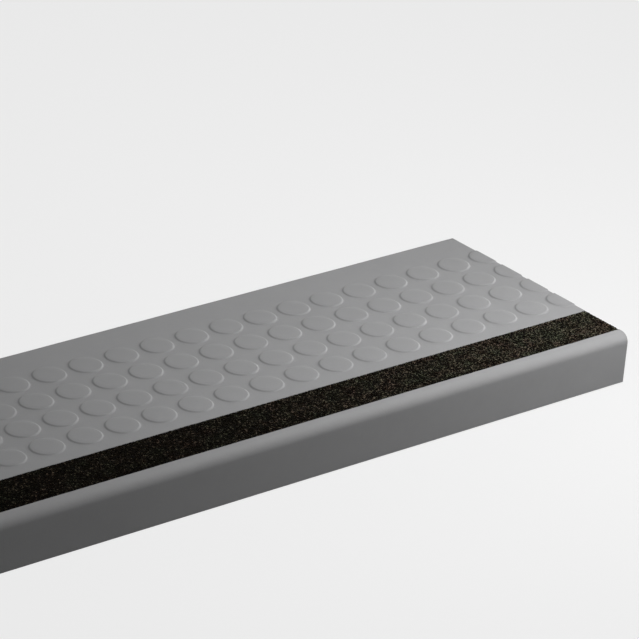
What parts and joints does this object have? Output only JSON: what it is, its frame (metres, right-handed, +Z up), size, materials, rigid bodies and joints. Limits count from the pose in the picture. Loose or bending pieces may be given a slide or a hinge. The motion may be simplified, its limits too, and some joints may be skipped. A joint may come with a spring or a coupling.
{
  "type": "rubber stair tread",
  "caption": "Moulded rubber stair tread with raised round studs, a square nosing flap and an inlaid abrasive grit strip.",
  "frame": {"origin": "centre of the footprint of the whole part, at floor level", "axes": "+X along the length of the tread, +Y from the nosing to the back edge, +Z up; the tread lies unheld, leaned back 10.2 degrees on the lip of its nosing flap and on its back edge"},
  "size_m": [0.9144, 0.2826, 0.0524],
  "materials": {
    "tread_rubber": "satin moulded grey rubber with a fine grain",
    "strip_grit": "matt black abrasive grit bonded to a thin backing"
  },
  "bodies": {
    "root": {"rubber_tread": "tread_rubber", "grit_strip": "strip_grit"}
  },
  "joints": []
}
